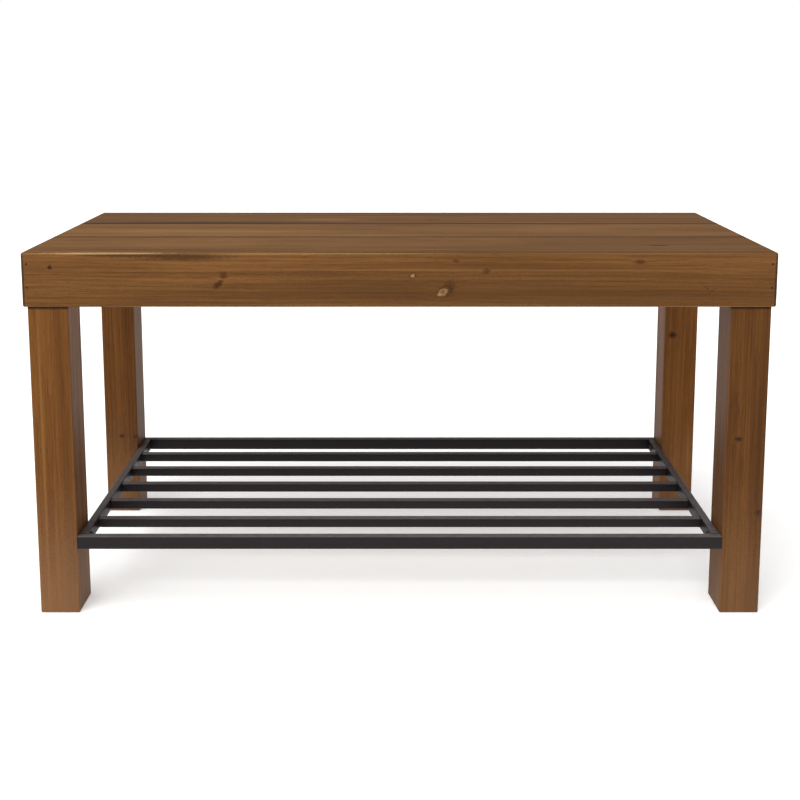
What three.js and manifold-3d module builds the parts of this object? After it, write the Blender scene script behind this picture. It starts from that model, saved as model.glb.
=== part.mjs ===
// Entryway bench: a stained pine top of three planks wrapped by mitred edge boards, four square legs
// bolted into its corners, and a slatted shoe shelf of rectangular steel tube between the legs.
// Millimetres, +Z up. X runs along the bench, Y from its front (-Y) to its rear (+Y), and the origin is
// on the floor under the middle of the top.

import * as THREE from 'three';
import { mergeVertices } from 'three/addons/utils/BufferGeometryUtils.js';
import Module from 'manifold-3d';

// Overall size
const LENGTH = 914;
const DEPTH = 356;
const HEIGHT = 460;
const GAP = 0.3; // between two pieces that touch
const CUT_OVERRUN = 5; // how far a cutter runs past what it cuts

// Top: planks, and the edge boards mitred round them
const PLANK_NAMES = ['front', 'middle', 'rear'];
const PLANK_THICKNESS = 20;
const PLANK_SEAM = 0.6;
const PLANK_CHAMFER = 0.8;
const EDGE_BOARD_HEIGHT = 67;
const EDGE_BOARD_THICKNESS = 20;
const TOP_ARRIS = 2.5; // rounding of the long outer edges
const TOP_CORNER = 3; // rounding of the upright corners

// Legs
const LEG_SIZE = 49;
const LEG_INSET_SIDE = 5.5; // from the end of the top
const LEG_INSET_FRONT = 1; // from the front and rear of the top
const LEG_CORNER = 2;
const LEG_ARRIS = 1.5;

// Corner braces and the bolts that pull the legs into the corners
const BRACE_THICKNESS = 20;
const BRACE_RISE = 1.5; // above the underside of the edge boards
const BRACE_DROP = 3.5; // below the underside of the planks
const LEG_FLAT = 8.5; // depth of the flat that the brace bears on, along each side of the leg
const BOLT_DIAMETER = 8;
const BOLT_COVER = 3; // wood left between the end of the bolt and the face of the leg's post
const BOLT_PAST_NUT = 3;
const BOLT_CHAMFER = 0.8;
const NUT_ACROSS_FLATS = 13;
const NUT_HEIGHT = 8;
const FLANGE_DIAMETER = 17.5;
const FLANGE_HEIGHT = 1.8;

// Battens under the planks, and their screws
const BATTEN_NAMES = ['left', 'middle', 'right'];
const BATTEN_WIDTH = 45;
const BATTEN_THICKNESS = 18;
const BATTEN_TO_BRACE = 60; // clear space along the bench between an outer batten and a brace
const SCREW_COVER = 6.3; // wood left above the point of a batten screw
const WOOD_SCREW = {
  shank: 4,
  head: 7.6,
  headDepth: 2.4,
  length: BATTEN_THICKNESS + GAP + PLANK_THICKNESS - SCREW_COVER,
  tip: 6,
};

// Pin nails across the mitred corners
const NAIL_DROPS = [14, 43]; // below the top surface
const NAIL_FROM_END = 7;
const NAIL = { shank: 1.6, head: 2.4, headDepth: 1, length: 32, tip: 2 };
const NAIL_RECESS = 0.3;

// Shelf
const SHELF_TOP = 100.5; // above the floor
const RAIL_WIDTH = 10;
const RAIL_HEIGHT = 16.5;
const SLAT_COUNT = 5;
const SLAT_WIDTH = 10;
const SLAT_HEIGHT = 12;
const TUBE_WALL = 1.2;
const TUBE_CORNER = 1.2;
const SHELF_SCREW = { shank: 4, head: 8.4, headHeight: 2.6, length: 38, tip: 5 };

// How finely the round parts are cut
const CORNER_STEPS = 3;
const ROUND_STEPS = 16;
const NAIL_STEPS = 8;
const DOME_STEPS = 3;
const HEXAGON = 6;

const CORNERS = [
  { name: 'front_left', sx: -1, sy: -1 },
  { name: 'front_right', sx: 1, sy: -1 },
  { name: 'rear_left', sx: -1, sy: 1 },
  { name: 'rear_right', sx: 1, sy: 1 },
];

const FINISHES = {
  top: { color: 0x84592f, roughness: 0.45, metalness: 0 },
  edge: { color: 0x7a5130, roughness: 0.45, metalness: 0 },
  leg: { color: 0x774b27, roughness: 0.45, metalness: 0 },
  rawPine: { color: 0xc9a574, roughness: 0.8, metalness: 0 },
  blackSteel: { color: 0x2a2728, roughness: 0.4, metalness: 0.2 },
  zincSteel: { color: 0xa9adb0, roughness: 0.35, metalness: 0.9 },
};

const wasm = await Module();
wasm.setup();

const bench = new THREE.Group();

// ---- Solids -------------------------------------------------------------------------------------

function toSolid(geometry) {
  const bare = geometry.clone();
  bare.deleteAttribute('normal');
  bare.deleteAttribute('uv');
  const merged = mergeVertices(bare, 1e-4);
  return new wasm.Manifold(new wasm.Mesh({
    numProp: 3,
    vertProperties: new Float32Array(merged.attributes.position.array),
    triVerts: new Uint32Array(merged.index.array),
  }));
}

function toGeometry(solid) {
  const { vertProperties, triVerts } = solid.getMesh();
  const geometry = new THREE.BufferGeometry();
  geometry.setAttribute('position', new THREE.BufferAttribute(new Float32Array(vertProperties), 3));
  geometry.setIndex(new THREE.BufferAttribute(new Uint32Array(triVerts), 1));
  return geometry;
}

function addMesh(name, solid, finish) {
  const geometry = toGeometry(solid).toNonIndexed();
  geometry.computeVertexNormals();
  const mesh = new THREE.Mesh(geometry, new THREE.MeshStandardMaterial(FINISHES[finish]));
  mesh.name = name;
  bench.add(mesh);
}

// A box between two opposite corners.
function box(low, high) {
  const size = high.map((value, axis) => value - low[axis]);
  const geometry = new THREE.BoxGeometry(...size);
  geometry.translate(...low.map((value, axis) => value + size[axis] / 2));
  return toSolid(geometry);
}

function roundedRectangle(width, height, radius) {
  const x = width / 2;
  const y = height / 2;
  const shape = new THREE.Shape();
  shape.absarc(x - radius, y - radius, radius, 0, Math.PI / 2);
  shape.absarc(-x + radius, y - radius, radius, Math.PI / 2, Math.PI);
  shape.absarc(-x + radius, -y + radius, radius, Math.PI, Math.PI * 1.5);
  shape.absarc(x - radius, -y + radius, radius, Math.PI * 1.5, Math.PI * 2);
  return shape;
}

// A rounded rectangle raised from z = 0, with its top and bottom edges rounded too.
function sandedBlock(width, depth, height, corner, arris) {
  const geometry = new THREE.ExtrudeGeometry(roundedRectangle(width, depth, corner), {
    depth: height - 2 * arris,
    curveSegments: CORNER_STEPS,
    bevelThickness: arris,
    bevelSize: arris,
    bevelOffset: -arris,
    bevelSegments: CORNER_STEPS,
  });
  geometry.translate(0, 0, arris);
  return toSolid(geometry);
}

// A straight prism: a shape raised from z = low to z = high.
function prism(points, low, high) {
  const shape = new THREE.Shape(points.map(([x, y]) => new THREE.Vector2(x, y)));
  const geometry = new THREE.ExtrudeGeometry(shape, { depth: high - low, bevelEnabled: false });
  geometry.translate(0, 0, low);
  return toSolid(geometry);
}

// Turns a shape's own x, y and z to the bench's Y, Z and X, for pieces that run along the bench.
const ALONG_X = new THREE.Matrix4().makeBasis(
  new THREE.Vector3(0, 1, 0),
  new THREE.Vector3(0, 0, 1),
  new THREE.Vector3(1, 0, 0),
);

// Turns a shape's own x, y and z to the bench's -X, Z and Y, for pieces that run front to rear.
const ALONG_Y = new THREE.Matrix4().makeBasis(
  new THREE.Vector3(-1, 0, 0),
  new THREE.Vector3(0, 0, 1),
  new THREE.Vector3(0, 1, 0),
);

// A turned piece on the z axis from a half outline of [radius, z] points, laid from a point along a
// direction.
function turned(outline, steps, from, direction) {
  const points = outline.map(([radius, z]) => new THREE.Vector2(radius, z));
  const geometry = new THREE.LatheGeometry(points, steps);
  geometry.rotateX(Math.PI / 2);
  const along = new THREE.Vector3(...direction).normalize();
  const turn = new THREE.Quaternion().setFromUnitVectors(new THREE.Vector3(0, 0, 1), along);
  geometry.applyQuaternion(turn);
  geometry.translate(...from);
  return toSolid(geometry);
}

// Half outlines, driven from z = 0 into the wood; grow is 0 for the fastener and GAP for its hole.
function countersunkOutline({ shank, head, headDepth, length, tip }, grow) {
  const r = shank / 2 + grow;
  return [
    [0, -grow],
    [head / 2 + grow, -grow],
    [r, headDepth + grow],
    [r, length - tip],
    [0, length + grow],
  ];
}

function nailOutline({ shank, head, headDepth, length, tip }, grow) {
  const r = shank / 2 + grow;
  return [
    [0, -grow],
    [head / 2 + grow, -grow],
    [head / 2 + grow, headDepth + grow],
    [r, headDepth + grow],
    [r, length - tip],
    [0, length + grow],
  ];
}

function panHeadOutline({ shank, head, headHeight, length, tip }) {
  const r = shank / 2;
  const dome = Array.from({ length: DOME_STEPS + 1 }, (_, step) => {
    const angle = (step / DOME_STEPS) * (Math.PI / 2);
    return [(head / 2) * Math.sin(angle), -headHeight * Math.cos(angle)];
  });
  return [...dome, [r, 0], [r, length - tip], [0, length]];
}

function shankHoleOutline({ shank, length, tip }, grow) {
  const r = shank / 2 + grow;
  return [
    [0, -grow],
    [r, -grow],
    [r, length - tip],
    [0, length + grow],
  ];
}

function boltOutline(length, grow) {
  const r = BOLT_DIAMETER / 2 + grow;
  return [
    [0, -grow],
    [r - BOLT_CHAMFER, -grow],
    [r, BOLT_CHAMFER - grow],
    [r, length - BOLT_CHAMFER + grow],
    [r - BOLT_CHAMFER, length + grow],
    [0, length + grow],
  ];
}

function cutAll(solid, cutters) {
  return cutters.reduce((rest, cutter) => rest.subtract(cutter), solid);
}

// ---- Places that several pieces share -----------------------------------------------------------

const EDGE_BOTTOM = HEIGHT - EDGE_BOARD_HEIGHT;
const PLANK_BOTTOM = HEIGHT - PLANK_THICKNESS;
const PLANK_PITCH = DEPTH / PLANK_NAMES.length;
const INNER_EDGE = EDGE_BOARD_THICKNESS + GAP; // how far in a piece inside the boards may reach
const LEG_LOW = { u: LEG_INSET_SIDE, v: LEG_INSET_FRONT };
const LEG_HIGH = { u: LEG_INSET_SIDE + LEG_SIZE, v: LEG_INSET_FRONT + LEG_SIZE };

// The brace lies on lines of equal u + v, square to the corner's diagonal.
const FLAT_SUM = LEG_HIGH.u + LEG_HIGH.v - LEG_FLAT;
const BRACE_FACE = FLAT_SUM + GAP * Math.SQRT2;
const BRACE_BACK = BRACE_FACE + BRACE_THICKNESS * Math.SQRT2;
const BRACE_REACH = BRACE_BACK - INNER_EDGE; // from the end of the top to the brace's far point
const BRACE_LOW = EDGE_BOTTOM + BRACE_RISE;
const BRACE_HIGH = PLANK_BOTTOM - BRACE_DROP;
const BATTEN_SPACING = LENGTH / 2 - BRACE_REACH - BATTEN_TO_BRACE - BATTEN_WIDTH / 2;

function battenX(column) {
  return (column - (BATTEN_NAMES.length - 1) / 2) * BATTEN_SPACING;
}

// A point given by how far it is in from a corner of the top, along its length (u) and depth (v).
function fromCorner({ sx, sy }, u, v) {
  return [sx * (LENGTH / 2 - u), sy * (DEPTH / 2 - v)];
}

// A box given the same way.
function cornerBox(corner, uLow, uHigh, vLow, vHigh, zLow, zHigh) {
  const [x0, y0] = fromCorner(corner, uLow, vLow);
  const [x1, y1] = fromCorner(corner, uHigh, vHigh);
  return box([Math.min(x0, x1), Math.min(y0, y1), zLow], [Math.max(x0, x1), Math.max(y0, y1), zHigh]);
}

// A prism given the same way. Its points turn the other way round on a mirrored corner.
function cornerPrism(corner, points, zLow, zHigh) {
  const placed = points.map(([u, v]) => fromCorner(corner, u, v));
  return prism(corner.sx * corner.sy > 0 ? placed : placed.reverse(), zLow, zHigh);
}

// The outside of the top, with every outer edge rounded.
function topEnvelope() {
  const block = sandedBlock(LENGTH, DEPTH, EDGE_BOARD_HEIGHT, TOP_CORNER, TOP_ARRIS);
  return block.translate([0, 0, EDGE_BOTTOM]);
}

// The plank panel, whose four sides slope in below the top surface to meet the mitred edge boards.
function mitredPanel(drop) {
  const slope = EDGE_BOARD_THICKNESS / PLANK_THICKNESS;
  const geometry = new THREE.BoxGeometry(1, 1, PLANK_THICKNESS + CUT_OVERRUN);
  const position = geometry.attributes.position;
  for (let i = 0; i < position.count; i += 1) {
    const out = position.getZ(i) > 0 ? CUT_OVERRUN * slope : -EDGE_BOARD_THICKNESS;
    position.setX(i, Math.sign(position.getX(i)) * (LENGTH / 2 + out));
    position.setY(i, Math.sign(position.getY(i)) * (DEPTH / 2 + out));
  }
  geometry.translate(0, 0, PLANK_BOTTOM - drop + (PLANK_THICKNESS + CUT_OVERRUN) / 2);
  return toSolid(geometry);
}

// ---- Fasteners, as their own solids and as the holes they need ----------------------------------

const nails = CORNERS.flatMap((corner) => NAIL_DROPS.map((drop, index) => {
  const [x, y] = fromCorner(corner, NAIL_FROM_END, NAIL_RECESS);
  const from = [x, y, HEIGHT - drop];
  const inward = [0, -corner.sy, 0];
  return {
    name: `pin_nail_${corner.name}_${index === 0 ? 'upper' : 'lower'}`,
    solid: turned(nailOutline(NAIL, 0), NAIL_STEPS, from, inward),
    hole: turned(nailOutline(NAIL, GAP), NAIL_STEPS, from, inward),
  };
}));

const battenScrews = BATTEN_NAMES.flatMap((batten, column) => PLANK_NAMES.map((plank, row) => {
  const y = (row - (PLANK_NAMES.length - 1) / 2) * PLANK_PITCH;
  const from = [battenX(column), y, PLANK_BOTTOM - GAP - BATTEN_THICKNESS];
  return {
    name: `batten_screw_${batten}_${plank}`,
    solid: turned(countersunkOutline(WOOD_SCREW, 0), ROUND_STEPS, from, [0, 0, 1]),
    hole: turned(countersunkOutline(WOOD_SCREW, GAP), ROUND_STEPS, from, [0, 0, 1]),
  };
}));

// The bolt runs across the corner, square to the flat on the leg and through the middle of it, and ends
// short of the post's nearer face.
const FLAT_MIDDLE = [LEG_HIGH.u - LEG_FLAT / 2, LEG_HIGH.v - LEG_FLAT / 2];
const POST_DEPTH = Math.min(...FLAT_MIDDLE) - INNER_EDGE;
const BOLT_IN_LEG = (POST_DEPTH - BOLT_COVER) * Math.SQRT2 - BOLT_DIAMETER / 2;
const BOLT_HEIGHT = (BRACE_LOW + BRACE_HIGH) / 2;
const BOLT_LENGTH = BOLT_IN_LEG + GAP + BRACE_THICKNESS + GAP + NUT_HEIGHT + BOLT_PAST_NUT;

const bolts = CORNERS.map((corner) => {
  const reach = BOLT_IN_LEG / Math.SQRT2;
  const [x, y] = fromCorner(corner, FLAT_MIDDLE[0] - reach, FLAT_MIDDLE[1] - reach);
  const direction = [-corner.sx, -corner.sy, 0];
  return {
    corner,
    direction,
    from: [x, y, BOLT_HEIGHT],
    solid: turned(boltOutline(BOLT_LENGTH, 0), ROUND_STEPS, [x, y, BOLT_HEIGHT], direction),
    hole: turned(boltOutline(BOLT_LENGTH, GAP), ROUND_STEPS, [x, y, BOLT_HEIGHT], direction),
  };
});

const RAIL_MIDDLE = SHELF_TOP - RAIL_HEIGHT / 2;
const SHELF_END = LEG_HIGH.u + GAP; // how far in the shelf starts
const SHELF_FRONT = LEG_INSET_FRONT; // the rails are flush with the legs' faces

const shelfScrews = CORNERS.map((corner) => {
  const [x, y] = fromCorner(corner, SHELF_END + RAIL_WIDTH + GAP, LEG_INSET_FRONT + LEG_SIZE / 2);
  const outward = [corner.sx, 0, 0];
  return {
    name: `shelf_screw_${corner.name}`,
    solid: turned(panHeadOutline(SHELF_SCREW), ROUND_STEPS, [x, y, RAIL_MIDDLE], outward),
    hole: turned(shankHoleOutline(SHELF_SCREW, GAP), ROUND_STEPS, [x, y, RAIL_MIDDLE], outward),
  };
});

// ---- Top ----------------------------------------------------------------------------------------

function plank(index) {
  const low = -DEPTH / 2 + index * PLANK_PITCH;
  const lowEdge = index === 0 ? low : low + PLANK_SEAM / 2;
  const last = index === PLANK_NAMES.length - 1;
  const highEdge = low + PLANK_PITCH - (last ? 0 : PLANK_SEAM / 2);
  const section = new THREE.Shape([
    new THREE.Vector2(lowEdge, PLANK_BOTTOM),
    new THREE.Vector2(highEdge, PLANK_BOTTOM),
    new THREE.Vector2(highEdge, HEIGHT - (last ? 0 : PLANK_CHAMFER)),
    new THREE.Vector2(highEdge - (last ? 0 : PLANK_CHAMFER), HEIGHT),
    new THREE.Vector2(lowEdge + (index === 0 ? 0 : PLANK_CHAMFER), HEIGHT),
    new THREE.Vector2(lowEdge, HEIGHT - (index === 0 ? 0 : PLANK_CHAMFER)),
  ].filter((point, i, all) => i === 0 || !point.equals(all[i - 1])));
  const geometry = new THREE.ExtrudeGeometry(section, { depth: LENGTH, bevelEnabled: false });
  geometry.translate(0, 0, -LENGTH / 2);
  geometry.applyMatrix4(ALONG_X);
  const blank = toSolid(geometry).intersect(mitredPanel(0)).intersect(topEnvelope());
  return cutAll(blank, battenScrews.map(({ hole }) => hole));
}

PLANK_NAMES.forEach((name, index) => addMesh(`top_plank_${name}`, plank(index), 'top'));

// An edge board, mitred to its neighbours in plan and to the planks along its top.
function edgeBoard(halfLength, halfDepth, turn) {
  const m = GAP / Math.SQRT2;
  const t = EDGE_BOARD_THICKNESS;
  const outline = [
    [-halfLength + m, -halfDepth],
    [halfLength - m, -halfDepth],
    [halfLength - t - m, -halfDepth + t],
    [-halfLength + t + m, -halfDepth + t],
  ];
  const blank = prism(outline, EDGE_BOTTOM, HEIGHT).rotate([0, 0, turn]);
  const fitted = blank.intersect(topEnvelope()).subtract(mitredPanel(GAP * Math.SQRT2));
  return cutAll(fitted, nails.map(({ hole }) => hole));
}

addMesh('edge_board_front', edgeBoard(LENGTH / 2, DEPTH / 2, 0), 'edge');
addMesh('edge_board_rear', edgeBoard(LENGTH / 2, DEPTH / 2, 180), 'edge');
addMesh('edge_board_left', edgeBoard(DEPTH / 2, LENGTH / 2, -90), 'edge');
addMesh('edge_board_right', edgeBoard(DEPTH / 2, LENGTH / 2, 90), 'edge');

nails.forEach(({ name, solid }) => addMesh(name, solid, 'zincSteel'));

// A batten across the planks' undersides, from edge board to edge board.
BATTEN_NAMES.forEach((name, column) => {
  const x = battenX(column);
  const halfSpan = DEPTH / 2 - INNER_EDGE;
  const top = PLANK_BOTTOM - GAP;
  const blank = box(
    [x - BATTEN_WIDTH / 2, -halfSpan, top - BATTEN_THICKNESS],
    [x + BATTEN_WIDTH / 2, halfSpan, top],
  );
  addMesh(`batten_${name}`, cutAll(blank, battenScrews.map(({ hole }) => hole)), 'rawPine');
});

battenScrews.forEach(({ name, solid }) => addMesh(name, solid, 'zincSteel'));

// ---- Legs, corner braces and bolts --------------------------------------------------------------

// A leg is rebated where the edge boards pass, so that a post rises inside the corner of the top.
function leg(corner) {
  const height = PLANK_BOTTOM - GAP;
  const shoulder = EDGE_BOTTOM - GAP;
  const [x, y] = fromCorner(corner, LEG_LOW.u + LEG_SIZE / 2, LEG_LOW.v + LEG_SIZE / 2);
  const blank = sandedBlock(LEG_SIZE, LEG_SIZE, height, LEG_CORNER, LEG_ARRIS).translate([x, y, 0]);
  const flat = [
    [LEG_HIGH.u + LEG_FLAT, LEG_HIGH.v - 2 * LEG_FLAT],
    [LEG_HIGH.u + LEG_FLAT, LEG_HIGH.v + LEG_FLAT],
    [LEG_HIGH.u - 2 * LEG_FLAT, LEG_HIGH.v + LEG_FLAT],
  ];
  const pastU = LEG_HIGH.u + CUT_OVERRUN;
  const pastV = LEG_HIGH.v + CUT_OVERRUN;
  return cutAll(blank, [
    cornerBox(corner, -CUT_OVERRUN, INNER_EDGE, -CUT_OVERRUN, pastV, shoulder, HEIGHT),
    cornerBox(corner, -CUT_OVERRUN, pastU, -CUT_OVERRUN, INNER_EDGE, shoulder, HEIGHT),
    cornerPrism(corner, flat, shoulder, HEIGHT),
    bolts.find((bolt) => bolt.corner === corner).hole,
    ...shelfScrews.map(({ hole }) => hole),
  ]);
}

// A brace across the corner, between the two edge boards and against the flat on the leg.
function cornerBrace(corner) {
  const outline = [
    [INNER_EDGE, BRACE_FACE - INNER_EDGE],
    [BRACE_FACE - INNER_EDGE, INNER_EDGE],
    [BRACE_REACH, INNER_EDGE],
    [INNER_EDGE, BRACE_REACH],
  ];
  const blank = cornerPrism(corner, outline, BRACE_LOW, BRACE_HIGH);
  return blank.subtract(bolts.find((bolt) => bolt.corner === corner).hole);
}

// A hexagon nut on a flange, run up against the brace.
function flangeNut({ corner, from, direction, hole }) {
  const nutRadius = NUT_ACROSS_FLATS / Math.sqrt(3);
  const flangeRadius = FLANGE_DIAMETER / 2;
  const hexagon = new THREE.CylinderGeometry(nutRadius, nutRadius, NUT_HEIGHT, HEXAGON);
  const flange = new THREE.CylinderGeometry(flangeRadius, flangeRadius, FLANGE_HEIGHT, ROUND_STEPS);
  flange.translate(0, (FLANGE_HEIGHT - NUT_HEIGHT) / 2, 0);
  const nut = toSolid(hexagon).add(toSolid(flange)).rotate([90, 0, 0]);
  const middle = BOLT_IN_LEG + GAP + BRACE_THICKNESS + GAP + NUT_HEIGHT / 2;
  const along = new THREE.Vector3(...direction).normalize();
  const heading = Math.atan2(along.y, along.x) * 180 / Math.PI;
  const place = along.multiplyScalar(middle).add(new THREE.Vector3(...from));
  return nut.rotate([0, 90, 0]).rotate([0, 0, heading]).translate(place.toArray()).subtract(hole);
}

CORNERS.forEach((corner) => addMesh(`leg_${corner.name}`, leg(corner), 'leg'));
CORNERS.forEach((corner) => addMesh(`corner_brace_${corner.name}`, cornerBrace(corner), 'rawPine'));
bolts.forEach((bolt) => addMesh(`leg_bolt_${bolt.corner.name}`, bolt.solid, 'zincSteel'));
bolts.forEach((bolt) => addMesh(`flange_nut_${bolt.corner.name}`, flangeNut(bolt), 'zincSteel'));

// ---- Shelf --------------------------------------------------------------------------------------

// A length of rectangular tube, open at both ends, centred on its own middle.
function tube(width, height, length, matrix) {
  const section = roundedRectangle(width, height, TUBE_CORNER);
  const options = { depth: length, curveSegments: CORNER_STEPS, bevelEnabled: false };
  const outside = new THREE.ExtrudeGeometry(section, options);
  outside.translate(0, 0, -length / 2);
  const bore = new THREE.BoxGeometry(
    width - 2 * TUBE_WALL,
    height - 2 * TUBE_WALL,
    length + 2 * CUT_OVERRUN,
  );
  return toSolid(outside.applyMatrix4(matrix)).subtract(toSolid(bore.applyMatrix4(matrix)));
}

const SHELF_LENGTH = LENGTH - 2 * SHELF_END;
const SHELF_DEPTH = DEPTH - 2 * SHELF_FRONT;
const SLAT_PITCH = (SHELF_DEPTH - RAIL_WIDTH) / (SLAT_COUNT + 1);

[['front', -1], ['rear', 1]].forEach(([name, side]) => {
  const y = side * (SHELF_DEPTH - RAIL_WIDTH) / 2;
  const rail = tube(RAIL_WIDTH, RAIL_HEIGHT, SHELF_LENGTH, ALONG_X).translate([0, y, RAIL_MIDDLE]);
  addMesh(`shelf_rail_${name}`, rail, 'blackSteel');
});

[['left', -1], ['right', 1]].forEach(([name, side]) => {
  const x = side * (SHELF_LENGTH - RAIL_WIDTH) / 2;
  const length = SHELF_DEPTH - 2 * (RAIL_WIDTH + GAP);
  const rail = tube(RAIL_WIDTH, RAIL_HEIGHT, length, ALONG_Y).translate([x, 0, RAIL_MIDDLE]);
  addMesh(`shelf_rail_${name}`, cutAll(rail, shelfScrews.map(({ hole }) => hole)), 'blackSteel');
});

for (let index = 1; index <= SLAT_COUNT; index += 1) {
  const y = -SHELF_DEPTH / 2 + RAIL_WIDTH / 2 + index * SLAT_PITCH;
  const length = SHELF_LENGTH - 2 * (RAIL_WIDTH + GAP);
  const slat = tube(SLAT_WIDTH, SLAT_HEIGHT, length, ALONG_X).translate([0, y, RAIL_MIDDLE]);
  addMesh(`shelf_slat_${index}`, slat, 'blackSteel');
}

shelfScrews.forEach(({ name, solid }) => addMesh(name, solid, 'blackSteel'));

export default bench;
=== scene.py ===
import math

import bmesh
import bpy
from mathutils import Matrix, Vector


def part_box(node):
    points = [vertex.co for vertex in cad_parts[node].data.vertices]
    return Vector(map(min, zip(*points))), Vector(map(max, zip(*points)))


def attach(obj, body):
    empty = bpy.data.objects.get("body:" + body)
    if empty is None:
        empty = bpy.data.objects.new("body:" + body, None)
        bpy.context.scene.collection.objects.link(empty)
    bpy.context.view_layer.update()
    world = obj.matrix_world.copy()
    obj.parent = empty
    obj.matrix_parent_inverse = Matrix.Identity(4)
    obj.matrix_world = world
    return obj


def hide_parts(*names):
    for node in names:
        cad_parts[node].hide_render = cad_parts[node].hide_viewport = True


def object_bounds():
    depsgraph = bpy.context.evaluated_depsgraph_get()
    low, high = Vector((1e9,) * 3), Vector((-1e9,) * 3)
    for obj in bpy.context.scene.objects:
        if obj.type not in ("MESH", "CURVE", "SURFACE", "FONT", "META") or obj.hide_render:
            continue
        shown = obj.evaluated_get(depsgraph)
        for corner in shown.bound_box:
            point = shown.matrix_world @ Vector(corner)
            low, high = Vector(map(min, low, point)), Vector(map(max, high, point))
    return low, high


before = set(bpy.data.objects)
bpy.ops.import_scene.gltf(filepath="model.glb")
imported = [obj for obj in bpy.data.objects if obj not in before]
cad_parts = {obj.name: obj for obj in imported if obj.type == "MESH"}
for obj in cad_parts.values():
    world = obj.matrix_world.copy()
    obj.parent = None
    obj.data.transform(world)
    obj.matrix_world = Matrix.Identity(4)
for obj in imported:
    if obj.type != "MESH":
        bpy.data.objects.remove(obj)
cad_low, cad_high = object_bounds()


# ---- The studio ---------------------------------------------------------------------------------
# A plain white floor that runs out of sight, in a white room lit by one soft lamp above the front left of
# the bench and, more faintly, by the walls all round. None of it is part of the bench.

def add(tree, kind, inputs=None, **settings):
    """A shader node, with its settings, and its inputs given as plain values or as other nodes' outputs."""
    made = tree.nodes.new(kind)
    for name, value in settings.items():
        setattr(made, name, value)
    for name, value in (inputs or {}).items():
        if isinstance(value, bpy.types.NodeSocket):
            tree.links.new(value, made.inputs[name])
        else:
            made.inputs[name].default_value = value
    return made


def maths(tree, operation, first, second=0.0, third=0.0):
    """The result of one Math node."""
    return add(tree, "ShaderNodeMath", {0: first, 1: second, 2: third}, operation=operation).outputs[0]


def vector_maths(tree, operation, first, second=(0, 0, 0), result="Vector"):
    """The result of one Vector Math node."""
    return add(tree, "ShaderNodeVectorMath", {0: first, 1: second}, operation=operation).outputs[result]


def remap(tree, value, low, high, new_low=0.0, new_high=1.0, smooth=False):
    """A value moved from one range to another, and held inside it."""
    kind = "SMOOTHSTEP" if smooth else "LINEAR"
    ends = {"Value": value, "From Min": low, "From Max": high, "To Min": new_low, "To Max": new_high}
    return add(tree, "ShaderNodeMapRange", ends, interpolation_type=kind).outputs["Result"]


LAMP_WAY = Vector((-0.34, -0.44, 0.83)).normalized()  # from the bench towards the lamp
LAMP_TIGHTNESS = 7.0
LAMP_STRENGTH = 4.8
LAMP_COLOUR = (1.0, 0.995, 0.985, 1)
WALL_FRONT = 0.30  # light from the wall that the front of the bench faces
WALL_REAR = 0.34
WHITE = (1, 1, 1, 1)
FLOOR_SIZE = 60
FLOOR_DROP = 0.0003  # keeps the floor clear of the undersides of the feet
FLOOR_SHADE = 0.86
FLOOR_GLOW = 0.34

bpy.context.scene.view_settings.view_transform = "Standard"
room = bpy.data.worlds.new("white_room")
bpy.context.scene.world = room
room.use_nodes = True
air = room.node_tree
air.nodes.clear()
way = add(air, "ShaderNodeTexCoord").outputs["Generated"]
towards_lamp = vector_maths(air, "DOT_PRODUCT", way, LAMP_WAY, "Value")
lamp = maths(air, "POWER", maths(air, "MAXIMUM", towards_lamp, 0.0), LAMP_TIGHTNESS)
way_y = add(air, "ShaderNodeSeparateXYZ", {"Vector": way}).outputs["Y"]
wall = remap(air, way_y, -1.0, 1.0, WALL_FRONT, WALL_REAR)
light = maths(air, "MULTIPLY_ADD", lamp, LAMP_STRENGTH, wall)
lit = add(air, "ShaderNodeBackground", {"Color": LAMP_COLOUR, "Strength": light})
seen = add(air, "ShaderNodeBackground", {"Color": WHITE, "Strength": 1.0})
is_seen = add(air, "ShaderNodeLightPath").outputs["Is Camera Ray"]
both = add(air, "ShaderNodeMixShader", {0: is_seen, 1: lit.outputs[0], 2: seen.outputs[0]})
add(air, "ShaderNodeOutputWorld", {"Surface": both.outputs[0]})

bpy.ops.object.select_all(action="DESELECT")
bpy.ops.mesh.primitive_plane_add(size=FLOOR_SIZE, location=(0, 0, -FLOOR_DROP))
floor = bpy.context.object
floor.name = "floor"
white_floor = bpy.data.materials.new("white_floor")
white_floor.use_nodes = True
floor_surface = white_floor.node_tree.nodes["Principled BSDF"]
floor_surface.inputs["Base Color"].default_value = (FLOOR_SHADE, FLOOR_SHADE, FLOOR_SHADE, 1)
floor_surface.inputs["Roughness"].default_value = 1.0
floor_surface.inputs["Specular IOR Level"].default_value = 0.0
floor_surface.inputs["Emission Color"].default_value = WHITE
floor_surface.inputs["Emission Strength"].default_value = FLOOR_GLOW
floor.data.materials.append(white_floor)

CAMERA_PLACE = (0.0006, -1.4107, 0.6793)
CAMERA_TILT = math.radians(7.18)  # below level
CAMERA_LENS = 46.77
CAMERA_FILM = 36
CAMERA_SHIFT = -0.25
bpy.ops.object.camera_add(location=CAMERA_PLACE, rotation=(math.pi / 2 - CAMERA_TILT, 0, 0))
camera = bpy.context.object
camera.data.sensor_width = CAMERA_FILM
camera.data.lens = CAMERA_LENS
camera.data.shift_y = CAMERA_SHIFT
bpy.context.scene.camera = camera


# ---- Top planks ---------------------------------------------------------------------------------
# Three flat-sawn pine planks side by side, brown stained and sealed with a satin coat. Their seams run out
# to the ends, and their outer edges are mitred to meet the edge boards along the arris.

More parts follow.
